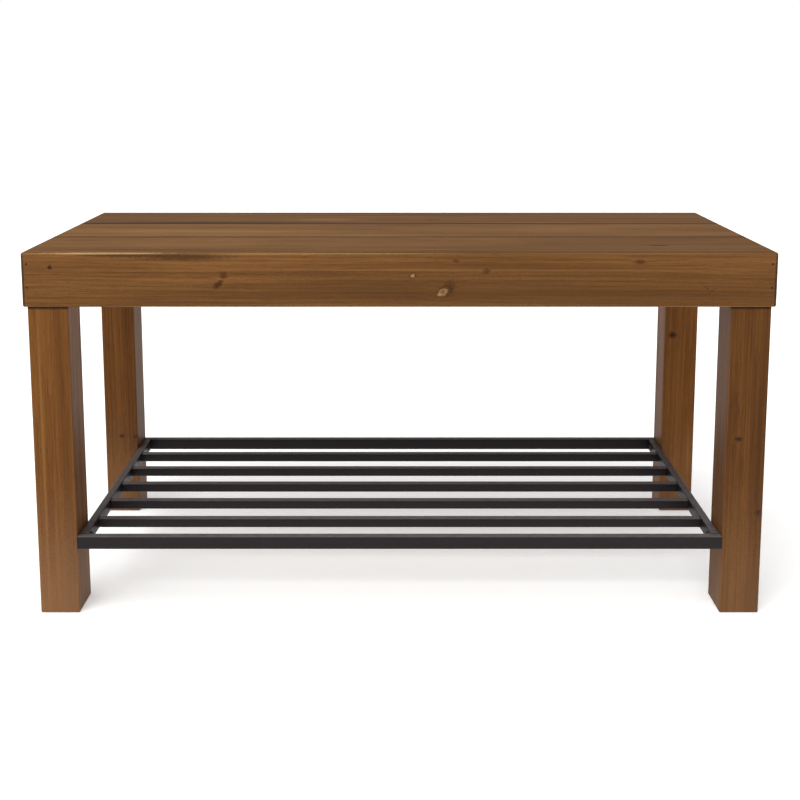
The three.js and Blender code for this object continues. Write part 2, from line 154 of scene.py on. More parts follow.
def open_up(piece, parts="EDGE"):
    """Starts editing one piece by its edges or its faces, with nothing in it selected."""
    bpy.ops.object.select_all(action="DESELECT")
    piece.select_set(True)
    bpy.context.view_layer.objects.active = piece
    bpy.ops.object.mode_set(mode="EDIT")
    bpy.ops.mesh.select_mode(type=parts)
    bpy.ops.mesh.select_all(action="DESELECT")
    return bmesh.from_edit_mesh(piece.data)


def close_up():
    """Ends the editing that open_up started."""
    bpy.ops.object.mode_set(mode="OBJECT")


def blank(name, low, high):
    """A squared-up length of stock between two corners."""
    low, high = Vector(low), Vector(high)
    bpy.ops.object.select_all(action="DESELECT")
    bpy.ops.mesh.primitive_cube_add(size=1, location=(low + high) / 2, scale=high - low)
    piece = bpy.context.object
    piece.name = name
    bpy.ops.object.transform_apply(location=True, rotation=True, scale=True)
    return piece


def copy_of(piece, name):
    """A second piece of the same shape, with its own mesh."""
    made = piece.copy()
    made.data = piece.data.copy()
    made.name = name
    bpy.context.scene.collection.objects.link(made)
    return made


def round_edges(piece, radius, steps, wanted):
    """Rounds the edges for which wanted(middle, direction) is true."""
    shape = open_up(piece)
    for edge in shape.edges:
        start, end = (vertex.co for vertex in edge.verts)
        edge.select_set(bool(wanted((start + end) / 2, (end - start).normalized())))
    bmesh.update_edit_mesh(piece.data)
    bpy.ops.mesh.bevel(offset=radius, segments=steps, affect="EDGES", clamp_overlap=False)
    close_up()


def saw(piece, through, off):
    """Cuts along a plane and takes away what lies on the side that off points to."""
    open_up(piece)
    bpy.ops.mesh.select_all(action="SELECT")
    bpy.ops.mesh.bisect(plane_co=through, plane_no=off, use_fill=True, clear_outer=True, threshold=1e-7)
    close_up()


def finish_piece(piece, material, stands_for, sharp=35):
    """Smooths the rounded edges only, gives the piece its material and puts it in its CAD node's place."""
    bpy.ops.object.select_all(action="DESELECT")
    piece.select_set(True)
    bpy.context.view_layer.objects.active = piece
    bpy.ops.object.shade_smooth_by_angle(angle=math.radians(sharp))
    even = piece.modifiers.new("even_faces", "WEIGHTED_NORMAL")
    even.keep_sharp = True
    bpy.ops.object.modifier_apply(modifier=even.name)
    piece.data.materials.clear()
    piece.data.materials.append(material)
    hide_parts(stands_for)
    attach(piece, "root")


def stretched(tree, place, run, length, width):
    """Coordinates in which a pattern is length long down the grain and width across it, in metres."""
    scale = [1 / width] * 3
    scale[run] = 1 / length
    return vector_maths(tree, "MULTIPLY", place, scale)


def noise(tree, vector, detail=2.0, roughness=0.55, output="Fac"):
    """A cloudy pattern of about 0.2 to 0.8."""
    inputs = {"Vector": vector, "Scale": 1.0, "Detail": detail, "Roughness": roughness}
    return add(tree, "ShaderNodeTexNoise", inputs).outputs[output]


def mixed(tree, amount, first, second):
    """Two colours mixed, as one output."""
    made = add(tree, "ShaderNodeMix", data_type="RGBA")
    for name, value in (("Factor_Float", amount), ("A_Color", first), ("B_Color", second)):
        socket = next(s for s in made.inputs if s.identifier == name)
        if isinstance(value, bpy.types.NodeSocket):
            tree.links.new(value, socket)
        else:
            socket.default_value = value if name == "Factor_Float" else (*value, 1)
    return next(s for s in made.outputs if s.identifier == "Result_Color")


def on_edges(tree, normal, flat, slant):
    """0 on the flat faces and 1 on the rounded edges, which slant between them."""
    facing = vector_maths(tree, "ABSOLUTE", normal)
    nx, ny, nz = add(tree, "ShaderNodeSeparateXYZ", {"Vector": facing}).outputs
    flatness = maths(tree, "MAXIMUM", maths(tree, "MAXIMUM", nx, ny), nz)
    return remap(tree, flatness, flat, slant)


def mark(at, size, face, tone, middle=None, tilt=0, soft=0.2, strength=1.0, bend=0.0, deep=0.02):
    """A knot or a stain on the faces that look along axis face.

    size is its half length and half height, deep its half depth, and bend how far it pushes the grain."""
    return {"at": at, "size": size, "face": face, "tone": tone, "middle": middle, "tilt": tilt,
            "soft": soft, "strength": strength, "bend": bend, "deep": deep}


def mark_distance(tree, place, ragged, entry):
    """0 in the middle of a mark and 1 at its rim."""
    scale = [entry["size"][0], entry["size"][1]]
    scale.insert(entry["face"], entry["deep"])
    turn = [0.0, 0.0, 0.0]
    turn[entry["face"]] = math.radians(entry["tilt"])
    inputs = {"Vector": place, "Location": entry["at"], "Rotation": turn, "Scale": scale}
    local = add(tree, "ShaderNodeMapping", inputs, vector_type="TEXTURE").outputs["Vector"]
    return maths(tree, "ADD", vector_maths(tree, "LENGTH", local, result="Value"), ragged)


RING_WIDTH = 0.0052
RING_SHARPNESS = 2.6  # how suddenly a ring darkens towards its outside
LOG_TAPER = 0.012
LOG_WANDER = 0.012
LOG_RIPPLE = 0.005
KNOT_FADE = -0.22  # how fast the bend in the grain dies away round a knot


def from_heart_of_log(tree, place, own, run, heart, marks, distances):
    """Distance from the heart of the log, which wanders, tapers and bends round the knots."""
    wander = noise(tree, stretched(tree, own, run, 0.42, 0.11), 2, output="Color")
    flow = noise(tree, stretched(tree, own, run, 0.20, 0.016), 2)
    middle = list(heart)
    middle.insert(run, 0.0)
    spread = [LOG_WANDER] * 3
    spread[run] = 0.0
    across = [1.0] * 3
    across[run] = 0.0
    drift = vector_maths(tree, "MULTIPLY", vector_maths(tree, "SUBTRACT", wander, (0.5, 0.5, 0.5)), spread)
    off_heart = vector_maths(tree, "MULTIPLY", vector_maths(tree, "SUBTRACT", place, middle), across)
    radius = vector_maths(tree, "LENGTH", vector_maths(tree, "ADD", off_heart, drift), result="Value")
    along = add(tree, "ShaderNodeSeparateXYZ", {"Vector": place}).outputs[run]
    radius = maths(tree, "MULTIPLY_ADD", along, LOG_TAPER, radius)
    radius = maths(tree, "MULTIPLY_ADD", flow, LOG_RIPPLE, radius)
    for entry, distance in zip(marks, distances):
        if entry["bend"]:
            squared = maths(tree, "POWER", distance, 2.0)
            near_knot = maths(tree, "EXPONENT", maths(tree, "MULTIPLY", squared, KNOT_FADE))
            radius = maths(tree, "MULTIPLY_ADD", near_knot, entry["bend"], radius)
    return radius


def pine(name, run, heart, seed, tones, marks, ring_depth, gloss, shine, worn,
         worn_tone=(0.30, 0.155, 0.062), shade=1.0):
    """Pine whose grain runs down axis run, sawn from a log whose middle passes through heart.

    tones are the light, middle and dark wood. The rings round the heart, the fibres and the stain's blotches
    all come from the place inside the solid, so they run on over every edge."""
    material = bpy.data.materials.new(name)
    material.use_nodes = True
    wood = material.node_tree
    surface = wood.nodes["Principled BSDF"]
    found = add(wood, "ShaderNodeTexCoord")
    place = found.outputs["Object"]
    own = vector_maths(wood, "ADD", place, (seed, seed * 1.7, seed * 2.3))
    light, body, dark = ([c * shade for c in tone] for tone in tones)

    # knots and stains with ragged rims
    rag = noise(wood, stretched(wood, own, run, 0.0032, 0.0017), 3, 0.75)
    ragged = remap(wood, rag, 0.25, 0.75, -0.5, 0.5)
    distances = [mark_distance(wood, place, ragged, entry) for entry in marks]

    # each ring goes slowly from light spring wood to a dark line, then starts again
    radius = from_heart_of_log(wood, place, own, run, heart, marks, distances)
    ring = maths(wood, "FRACT", maths(wood, "DIVIDE", radius, RING_WIDTH))
    late = maths(wood, "POWER", ring, RING_SHARPNESS)

    # over the rings: broad bands, streaks, fibres and blotches of stain, each with its spread and weight
    band = noise(wood, stretched(wood, own, run, 0.75, 0.017), 2)
    streak = noise(wood, stretched(wood, own, run, 0.26, 0.0034), 4, 0.7)
    fibre = noise(wood, stretched(wood, own, run, 0.060, 0.0010), 3, 0.65)
    blotch = noise(wood, stretched(wood, own, run, 0.30, 0.075), 3, 0.5)
    tone = maths(wood, "MULTIPLY_ADD", late, ring_depth, 0.28)
    layers = ((band, 0.2, 0.16), (streak, 0.23, 0.27), (fibre, 0.25, 0.20), (blotch, 0.2, 0.13))
    for pattern, spread, weight in layers:
        swing = remap(wood, pattern, 0.5 - spread, 0.5 + spread, -1, 1)
        tone = maths(wood, "MULTIPLY_ADD", swing, weight, tone)
    ramp = add(wood, "ShaderNodeValToRGB", {"Fac": tone})
    stops = ramp.color_ramp.elements
    stops[0].position = 0.0
    stops[0].color = (*light, 1)
    stops[1].position = 0.85
    stops[1].color = (*dark, 1)
    stops.new(0.36).color = (*body, 1)
    pore = noise(wood, stretched(wood, own, run, 0.016, 0.0006), 1)
    pores = remap(wood, pore, 0.63, 0.72, 0, 0.5)
    colour = mixed(wood, pores, ramp.outputs["Color"], [c * 0.6 for c in dark])

    # pale wood where the rounded edges have been rubbed
    patches = remap(wood, noise(wood, stretched(wood, own, run, 0.16, 0.03), 3), 0.38, 0.62)
    edge = on_edges(wood, found.outputs["Normal"], 0.985, 0.80)
    paler_edges = maths(wood, "MULTIPLY", maths(wood, "MULTIPLY", edge, patches), worn)
    colour = mixed(wood, paler_edges, colour, [c * shade for c in worn_tone])

    for entry, distance in zip(marks, distances):
        soft, strength = entry["soft"], entry["strength"]
        inside = remap(wood, distance, 1.0 + soft, 1.0 - soft, 0, strength, smooth=True)
        colour = mixed(wood, inside, colour, entry["tone"])
        if entry["middle"]:
            core = remap(wood, distance, 0.75, 0.5, 0, strength, smooth=True)
            colour = mixed(wood, core, colour, entry["middle"])
    wood.links.new(colour, surface.inputs["Base Color"])

    rough = remap(wood, streak, 0.2, 0.8, gloss - 0.07, gloss + 0.11)
    wood.links.new(maths(wood, "MULTIPLY_ADD", fibre, 0.05, rough), surface.inputs["Roughness"])
    height = maths(wood, "MULTIPLY_ADD", late, -0.35, maths(wood, "MULTIPLY", fibre, 0.8))
    bump = add(wood, "ShaderNodeBump", {"Height": height, "Strength": 0.35, "Distance": 0.00025})
    wood.links.new(bump.outputs["Normal"], surface.inputs["Normal"])
    surface.inputs["Specular IOR Level"].default_value = shine
    return material


TOP = cad_high.z
TOP_TONES = ((0.243, 0.116, 0.034), (0.163, 0.071, 0.0170), (0.089, 0.036, 0.0085))
CORNER_ROUND = 0.003
ARRIS_ROUND = 0.0025
SEAM_CHAMFER = 0.0008
BOARD_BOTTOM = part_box("edge_board_front")[0].z
TINY = 1e-5


def is_top_or_bottom(middle, way):
    """Picks the edges round the top and round the bottom of the block."""
    return min(abs(middle.z - TOP), abs(middle.z - BOARD_BOTTOM)) < TINY


# the outline of the whole top, which every plank and edge board is cut out of
top_block = blank("top_block", (cad_low.x, cad_low.y, BOARD_BOTTOM), cad_high)
round_edges(top_block, CORNER_ROUND, 6, lambda middle, way: abs(way.z) > 0.9)
round_edges(top_block, ARRIS_ROUND, 6, is_top_or_bottom)

PLANK_HEARTS = {"front": (-0.085, 0.380), "middle": (0.012, 0.395), "rear": (0.150, 0.370)}
PLANK_SHADES = {"front": 1.0, "middle": 1.10, "rear": 0.84}
FRONT_SEAM = (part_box("top_plank_front")[1].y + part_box("top_plank_middle")[0].y) / 2
REAR_SEAM = (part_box("top_plank_middle")[1].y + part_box("top_plank_rear")[0].y) / 2
SEAM_LINES = {"front": (FRONT_SEAM,), "middle": (FRONT_SEAM, REAR_SEAM), "rear": (REAR_SEAM,)}
SEAM_STAIN = (0.014, 0.006, 0.002)
RUBBED_ARRIS = (0.50, 0.30, 0.13)
# painted shade: a broad soft darkening laid over the right end of the top planks, standing in for the lamp's
# light falling off away from the front left
RIGHT_END_PAINTED_SHADE = (0.085, 0.034, 0.008)
PALE_STREAK = (0.27, 0.145, 0.055)
PLANK_MARKS = {
    "front": [
        mark((0.50, -0.12, TOP), (0.55, 0.10), 2, RIGHT_END_PAINTED_SHADE, soft=0.95, strength=0.42, deep=5.0),
        mark((-0.30, -0.158, TOP), (0.13, 0.006), 2, (0.055, 0.023, 0.006), soft=0.8, strength=0.5),
        mark((-0.353, -0.1772, TOP), (0.072, 0.0010), 2, RUBBED_ARRIS, soft=0.4, strength=0.9),
        mark((0, -0.1725, TOP), (5.0, 0.0022), 2, SEAM_STAIN, soft=0.7, strength=0.6, deep=0.01),
        mark((0.324, -0.126, TOP), (0.014, 0.0035), 2, (0.035, 0.016, 0.006), bend=0.004, strength=0.85),
    ],
    "middle": [
        mark((0.50, 0.0, TOP), (0.55, 0.10), 2, RIGHT_END_PAINTED_SHADE, soft=0.95, strength=0.35, deep=5.0),
        mark((-0.28, -0.012, TOP), (0.16, 0.010), 2, PALE_STREAK, soft=0.8, strength=0.5),
        mark((0.10, 0.020, TOP), (0.22, 0.006), 2, PALE_STREAK, soft=0.8, strength=0.35),
    ],
    "rear": [
        mark((-0.30, 0.070, TOP), (0.18, 0.008), 2, (0.04, 0.018, 0.006), soft=0.8, strength=0.75),
        mark((-0.105, 0.100, TOP), (0.045, 0.009), 2, (0.25, 0.135, 0.05), soft=0.7, strength=0.6,
             bend=0.006),
        mark((0.50, 0.12, TOP), (0.45, 0.10), 2, RIGHT_END_PAINTED_SHADE, soft=0.95, strength=0.35, deep=5.0),
        mark((0.05, 0.10, TOP), (0.010, 0.004), 2, (0.05, 0.022, 0.008), bend=0.005, strength=0.7),
    ],
}

for number, name in enumerate(("front", "middle", "rear")):
    low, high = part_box(f"top_plank_{name}")
    plank = copy_of(top_block, f"{name}_top_plank")
    saw(plank, low, (0, 0, -1))
    if name != "front":
        saw(plank, low, (0, -1, 0))
    if name != "rear":
        saw(plank, high, (0, 1, 0))
    for x, y in ((-1, 0), (1, 0), (0, -1), (0, 1)):
        saw(plank, (x * cad_high.x, y * cad_high.y, TOP), Vector((x, y, -1)).normalized())
    seams = [y for y in (low.y, high.y) if abs(y) < cad_high.y / 2]

    def is_top_of_seam(middle, way):
        return abs(middle.z - TOP) < TINY and any(abs(middle.y - y) < TINY for y in seams)

    round_edges(plank, SEAM_CHAMFER, 2, is_top_of_seam)
    stains = [mark((0, y, TOP), (5.0, width), 2, SEAM_STAIN, soft=0.6, strength=strength, deep=5.0)
              for y in SEAM_LINES[name] for width, strength in ((0.0045, 0.5), (0.0015, 0.95))]
    stained = pine(f"stained_pine_{name}_plank", 0, PLANK_HEARTS[name], 3.1 + number, TOP_TONES,
                   PLANK_MARKS[name] + stains, ring_depth=0.16, gloss=0.47, shine=0.10, worn=0.35,
                   shade=PLANK_SHADES[name])
    finish_piece(plank, stained, f"top_plank_{name}")


# ---- Edge boards --------------------------------------------------------------------------------
# Four pine boards on edge round the planks, stained the same brown. They are mitred to each other at the
# corners and to the planks along the arris, glued, and pinned at each corner from the front and the rear.

MITRE_GAP = 0.0003
NAIL_HOLE_RADIUS = 0.0014
NAIL_HOLE_SIDES = 16
BIT_SPARE = 0.002  # how much longer the bit is than the nail
BOARD_TONES = ((0.202, 0.089, 0.0250), (0.140, 0.058, 0.0148), (0.075, 0.0292, 0.0066))
DARK_KNOT = (0.020, 0.009, 0.004)
RED_KNOT = (0.074, 0.022, 0.005)
PALE_FILLER = (0.33, 0.19, 0.082)
LOWER_SHADE = (0.068, 0.028, 0.007)
SCRATCH = (0.05, 0.02, 0.006)
MITRE_STAIN = (0.03, 0.013, 0.006)
FRONT = cad_low.y
REAR = cad_high.y
BOARD_MARKS = {
    "front": [
        mark((0.10, FRONT, 0.411), (0.50, 0.018), 1, LOWER_SHADE, soft=0.7, strength=0.40),
        mark((0.16, FRONT, 0.420), (0.20, 0.030), 1, LOWER_SHADE, soft=0.9, strength=0.28),
        mark((0.0570, FRONT, 0.4150), (0.0105, 0.0070), 1, (0.052, 0.019, 0.004), tilt=-35, soft=0.45,
             strength=0.85, bend=0.006),
        mark((0.0525, FRONT, 0.4115), (0.0058, 0.0038), 1, PALE_FILLER, middle=(0.12, 0.055, 0.016),
             tilt=-35, soft=0.35, strength=0.8),
        mark((0.0480, FRONT, 0.4085), (0.0022, 0.0017), 1, PALE_FILLER, soft=0.4, strength=0.6),
        mark((0.016, FRONT, 0.432), (0.0042, 0.0032), 1, (0.036, 0.015, 0.005), middle=PALE_FILLER,
             bend=0.002, strength=0.85),
        mark((-0.2124, FRONT, 0.4325), (0.0042, 0.0044), 1, RED_KNOT, soft=0.45, bend=0.003, strength=0.9),
        mark((-0.2190, FRONT, 0.4210), (0.0066, 0.0032), 1, (0.050, 0.014, 0.003), tilt=-38, soft=0.5,
             bend=0.002, strength=0.9),
        mark((0.07, FRONT, 0.4385), (0.22, 0.0011), 1, (0.27, 0.14, 0.05), soft=0.8, strength=0.3),
        mark((-0.353, FRONT, 0.4592), (0.072, 0.0012), 1, RUBBED_ARRIS, soft=0.4, strength=0.9),
        mark((-0.10, FRONT, 0.4594), (0.18, 0.0011), 1, RUBBED_ARRIS, soft=0.5, strength=0.45),
        mark((0.068, FRONT, 0.450), (0.0034, 0.0028), 1, RED_KNOT, soft=0.4, bend=0.003, strength=0.6),
        mark((0.105, FRONT, 0.437), (0.0045, 0.0032), 1, RED_KNOT, soft=0.5, bend=0.003, strength=0.75),
        mark((0.290, FRONT, 0.449), (0.0060, 0.0024), 1, RED_KNOT, soft=0.5, bend=0.003, strength=0.85),
        mark((0.371, FRONT, 0.417), (0.0060, 0.0008), 1, SCRATCH, tilt=40, strength=0.6),
        mark((0.378, FRONT, 0.413), (0.0080, 0.0006), 1, SCRATCH, tilt=-50, strength=0.5),
        mark((-0.422, FRONT, 0.442), (0.0026, 0.0026), 1, (0.040, 0.014, 0.004), soft=0.4, bend=0.002),
        mark((-0.262, FRONT, 0.4548), (0.050, 0.0040), 1, (0.056, 0.024, 0.006), soft=0.7, strength=0.85),
        mark((-0.336, FRONT, 0.4565), (0.048, 0.0018), 1, (0.056, 0.022, 0.006), soft=0.6, strength=0.8),
        mark((-0.4553, FRONT, 0.425), (0.0019, 0.040), 1, MITRE_STAIN, soft=0.3, strength=0.8),
        mark((0.4553, FRONT, 0.425), (0.0019, 0.040), 1, MITRE_STAIN, soft=0.3, strength=0.8),
    ],
    "rear": [
        mark((-0.18, REAR, 0.431), (0.010, 0.006), 1, DARK_KNOT, tilt=15, bend=0.006),
        mark((0.27, REAR, 0.416), (0.006, 0.005), 1, DARK_KNOT, bend=0.005),
    ],
    "left": [mark((cad_low.x, 0.06, 0.424), (0.008, 0.005), 0, DARK_KNOT, bend=0.006)],
    "right": [mark((cad_high.x, -0.05, 0.433), (0.006, 0.005), 0, DARK_KNOT, bend=0.005)],
}


def nodes_called(start):
    """The names of the CAD nodes that start in one way."""
    return [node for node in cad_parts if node.startswith(start)]


def cut_out(piece, tool):
    """Takes the shape of a tool out of a piece, and puts the tool away."""
    cut = piece.modifiers.new("cut", "BOOLEAN")
    cut.object = tool
    cut.operation = "DIFFERENCE"
    cut.solver = "EXACT"
    bpy.context.view_layer.objects.active = piece
    bpy.ops.object.modifier_apply(modifier=cut.name)
    bpy.data.objects.remove(tool)


def drill(piece, nails):
    """Bores a hole for each of the nails that pass into the piece from its outer face."""
    for nail in nails:
        low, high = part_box(nail)
        bpy.ops.object.select_all(action="DESELECT")
        bpy.ops.mesh.primitive_cylinder_add(vertices=NAIL_HOLE_SIDES, radius=NAIL_HOLE_RADIUS,
                                            depth=high.y - low.y + BIT_SPARE, location=(low + high) / 2,
                                            rotation=(math.pi / 2, 0, 0))
        cut_out(piece, bpy.context.object)


SIDES = {"front": (0, -1), "rear": (0, 1), "left": (-1, 0), "right": (1, 0)}
for number, (name, (out_x, out_y)) in enumerate(SIDES.items()):
    low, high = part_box(f"edge_board_{name}")
    out = Vector((out_x, out_y, 0))
    along = Vector((abs(out_y), abs(out_x), 0))
    outer = Vector((out_x * cad_high.x, out_y * cad_high.y, 0))
    inner = Vector((low.x if out_x > 0 else high.x, low.y if out_y > 0 else high.y, 0))
    board = copy_of(top_block, f"{name}_edge_board")
    saw(board, inner, -out)
    arris = outer + Vector((0, 0, TOP - MITRE_GAP * math.sqrt(2)))
    saw(board, arris, (Vector((0, 0, 1)) - out).normalized())
    for end in (-1, 1):
        corner = outer + along * end * (abs(out_y) * cad_high.x + abs(out_x) * cad_high.y)
        saw(board, corner - along * end * MITRE_GAP / math.sqrt(2), (along * end - out).normalized())
    drill(board, nodes_called(f"pin_nail_{name}_"))
    run, heart = (0, (FRONT + 0.030, 0.330)) if out_y else (1, (out_x * 0.44, 0.335))
    stained = pine(f"stained_pine_{name}_board", run, heart, 7.3 + number, BOARD_TONES, BOARD_MARKS[name],
                   ring_depth=0.16, gloss=0.48, shine=0.10, worn=0.9)
    finish_piece(board, stained, f"edge_board_{name}")
bpy.data.objects.remove(top_block)


# ---- Pin nails ----------------------------------------------------------------------------------
# Thin steel pins driven through the front and rear boards into the ends of the side boards, two at each
# corner. Their heads sit just below the face, and the stain has darkened them.

# painted sheen laid on the up-facing tops of the shelf steel
UPWARD_PAINTED_SHEEN = (0.150, 0.136, 0.140)
# painted highlight along the rounded edges of the shelf steel
EDGE_PAINTED_HIGHLIGHT = (0.13, 0.12, 0.12)


def coated_metal(name, tone, metal, gloss, shine, mottle=0.25, grain=0.0006, dent=0.00003, painted_top_sheen=0.0,
                 paler_edges=0.0):
    """Metal or a coat of paint on it, mottled and finely textured, with a painted sheen on its tops and
    painted highlights along its edges.
    """
    material = bpy.data.materials.new(name)
    material.use_nodes = True
    skin = material.node_tree
    surface = skin.nodes["Principled BSDF"]
    found = add(skin, "ShaderNodeTexCoord")
    place = found.outputs["Object"]
    cloud = noise(skin, stretched(skin, place, 0, 0.05, 0.02), 3)
    speck = noise(skin, stretched(skin, place, 0, grain, grain), 2)
    grime = noise(skin, stretched(skin, place, 0, 0.012, 0.006), 4, 0.7)
    lighter = [min(1.0, c * (1 + mottle)) for c in tone]
    darker = [c * (1 - mottle) for c in tone]
    palest = [min(1.0, c * 1.5 + 0.01) for c in tone]
    colour = mixed(skin, remap(skin, cloud, 0.3, 0.7), darker, lighter)
    colour = mixed(skin, remap(skin, grime, 0.62, 0.8, 0, 0.35), colour, palest)

    # painted sheen: what faces up is made paler, as if it caught the light and reflected the room, and the
    # rounded edges get a painted highlight
    patchy = remap(skin, grime, 0.3, 0.7, 0.6, 1.0)
    upward = add(skin, "ShaderNodeSeparateXYZ", {"Vector": found.outputs["Normal"]}).outputs["Z"]
    lit_tops = maths(skin, "MULTIPLY", remap(skin, upward, 0.6, 1.0), patchy)
    colour = mixed(skin, maths(skin, "MULTIPLY", lit_tops, painted_top_sheen), colour, UPWARD_PAINTED_SHEEN)
    edge_glint = maths(skin, "MULTIPLY", on_edges(skin, found.outputs["Normal"], 0.97, 0.75), paler_edges)
    colour = mixed(skin, maths(skin, "MULTIPLY", edge_glint, patchy), colour, EDGE_PAINTED_HIGHLIGHT)
    skin.links.new(colour, surface.inputs["Base Color"])

    rough = remap(skin, cloud, 0.25, 0.75, gloss - 0.05, gloss + 0.06)
    skin.links.new(maths(skin, "MULTIPLY_ADD", speck, 0.06, rough), surface.inputs["Roughness"])
    bump = add(skin, "ShaderNodeBump", {"Height": speck, "Strength": 0.3, "Distance": dent})
    skin.links.new(bump.outputs["Normal"], surface.inputs["Normal"])
    surface.inputs["Metallic"].default_value = metal
    surface.inputs["Specular IOR Level"].default_value = shine
    return material


def coat(nodes, material):
    """Gives CAD nodes a material in place of their plain one."""
    for node in nodes:
        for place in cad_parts[node].material_slots:
            place.material = material


coat(nodes_called("pin_nail_"), coated_metal("stained_nail_steel", (0.028, 0.015, 0.008), 0.3, 0.5, 0.3))


# ---- Battens ------------------------------------------------------------------------------------
# Three lengths of bare sawn pine across the undersides of the planks, which hold the planks level.
# A countersunk screw goes up through each batten into each plank.

BARE_TONES = ((0.60, 0.42, 0.235), (0.50, 0.335, 0.17), (0.35, 0.205, 0.09))


def bare_pine(name, run, heart, seed):
    """Sawn pine with no stain on it."""
    return pine(name, run, heart, seed, BARE_TONES, (), ring_depth=0.6, gloss=0.72, shine=0.2, worn=0.2,
                worn_tone=(0.66, 0.49, 0.30))


for number, name in enumerate(("left", "middle", "right")):
    low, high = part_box(f"batten_{name}")
    heart = (low.x - 0.03, low.z - 0.02)
    coat([f"batten_{name}"], bare_pine(f"bare_pine_{name}_batten", 1, heart, 12.4 + number))

zinc_plate = coated_metal("zinc_plate", (0.56, 0.57, 0.585), 1.0, 0.32, 0.5, mottle=0.08)
coat(nodes_called("batten_screw_"), zinc_plate)


# ---- Legs ---------------------------------------------------------------------------------------
# Four square legs of stained pine with eased corners. Behind the edge boards each one is cut back to a
# narrower post that stands inside the corner of the top, with a flat that the corner brace bears on.

LEG_TONES = ((0.170, 0.066, 0.0130), (0.117, 0.0425, 0.0078), (0.060, 0.0200, 0.0036))
LEG_CORNER_ROUND = 0.002
LEG_FOOT_ROUND = 0.0015
LEG_HEARTS = {
    "front_left": (-0.452, -0.060),
    "front_right": (0.405, -0.075),
    "rear_left": (-0.380, 0.120),
    "rear_right": (0.520, 0.210),
}
# painted light and shade: each leg's colours are scaled by how lit it should look, so the front right leg is
# darkened and the rear right one lightened
LEG_PAINTED_LIGHT = {"front_left": 1.05, "front_right": 0.76, "rear_left": 0.98, "rear_right": 1.40}
# painted reflection of the white floor: how strongly each leg is made paler towards its foot
FOOT_PAINTED_REFLECTION_STRENGTHS = {"front_left": 0.34, "front_right": 0.18, "rear_left": 0.2, "rear_right": 0.2}
FOOT_PAINTED_REFLECTION_TONE = (0.32, 0.18, 0.098)
# painted shadow: a dark band round the top of each leg, just under the edge boards
UNDER_BOARD_PAINTED_SHADOW = (0.020, 0.008, 0.003)
REAR_LEG_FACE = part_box("leg_rear_left")[0].y
LEG_MARKS = {
    "front_left": [
        mark((-0.4395, FRONT, 0.22), (0.0016, 0.17), 1, (0.25, 0.12, 0.035), soft=0.7, strength=0.5),
        mark((-0.4160, FRONT, 0.25), (0.0060, 0.22), 1, (0.060, 0.021, 0.004), soft=0.9, strength=0.35),
    ],
    "front_right": [
        mark((0.418, FRONT, 0.227), (0.0052, 0.0036), 1, RED_KNOT, middle=DARK_KNOT, soft=0.4, bend=0.004,
             strength=0.8),
        mark((0.446, FRONT, 0.132), (0.0055, 0.0055), 1, RED_KNOT, middle=DARK_KNOT, soft=0.4, bend=0.004,
             strength=0.75),
    ],
    "rear_left": [
        mark((-0.426, REAR_LEG_FACE, 0.120), (0.004, 0.003), 1, DARK_KNOT, bend=0.003, strength=0.8),
        mark((-0.406, REAR_LEG_FACE, 0.119), (0.003, 0.003), 1, DARK_KNOT, bend=0.003, strength=0.7),
    ],
    "rear_right": [
        mark((0.414, REAR_LEG_FACE, 0.279), (0.006, 0.005), 1, RED_KNOT, middle=DARK_KNOT, soft=0.4,
             bend=0.004, strength=0.85),
    ],
}
CORNERS = {"front_left": (-1, -1), "front_right": (1, -1), "rear_left": (-1, 1), "rear_right": (1, 1)}
BOARD_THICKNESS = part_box("edge_board_front")[1].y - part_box("edge_board_front")[0].y
POST_INSET = BOARD_THICKNESS + MITRE_GAP  # from the outside of the top to the face of the post
POST_STEP = 0.0002  # how far the post's inner faces stand back from the leg's
SHOULDER = BOARD_BOTTOM - MITRE_GAP
POST_ONLY = SHOULDER + 0.01  # above this there is nothing but the post
FIRST_INSET = 0.0005


def from_corner(side_x, side_y, in_x, in_y, z):
    """A point given by how far it is in from a corner of the top, along the length and the depth."""
    return Vector((side_x * (cad_high.x - in_x), side_y * (cad_high.y - in_y), z))


def pick_faces(piece, wanted):
    """Starts editing a piece, with the faces selected for which wanted(face) is true."""
    shape = open_up(piece, "FACE")
    for face in shape.faces:
        face.select_set(bool(wanted(face)))
    bmesh.update_edit_mesh(piece.data)


def raise_post(leg, low, high, near, far):
    """Draws the leg's top face in to the post's outline, between two corners, and raises it."""
    pick_faces(leg, lambda face: face.normal.z > 0.99)
    bpy.ops.mesh.inset(thickness=FIRST_INSET)
    size = high - low
    middle = (low + high) / 2
    share_x = abs(far.x - near.x) / (size.x - 2 * FIRST_INSET)
    share_y = abs(far.y - near.y) / (size.y - 2 * FIRST_INSET)
    bpy.ops.transform.resize(value=(share_x, share_y, 1), center_override=(middle.x, middle.y, SHOULDER))
    bpy.ops.transform.translate(value=((near.x + far.x) / 2 - middle.x, (near.y + far.y) / 2 - middle.y, 0))
    bpy.ops.mesh.extrude_region_move(TRANSFORM_OT_translate={"value": (0, 0, high.z - SHOULDER)})
    close_up()


def cut_flat(leg, cad_leg, far_x, far_y):
    """Planes off the post's inner edge, as deep as it is in the CAD leg, where the corner brace bears."""
    points = [cad_leg.matrix_world @ vertex.co for vertex in cad_leg.data.vertices]
    post = [point for point in points if point.z > POST_ONLY]
    reach = max(cad_high.x - abs(point.x) + cad_high.y - abs(point.y) for point in post)
    inner = from_corner(1, 1, far_x, far_y, 0)

    def is_inner_edge(middle, way):
        off = abs(abs(middle.x) - inner.x) + abs(abs(middle.y) - inner.y)
        return abs(way.z) > 0.9 and middle.z > POST_ONLY and off < 0.002

    round_edges(leg, far_x + far_y - reach, 1, is_inner_edge)


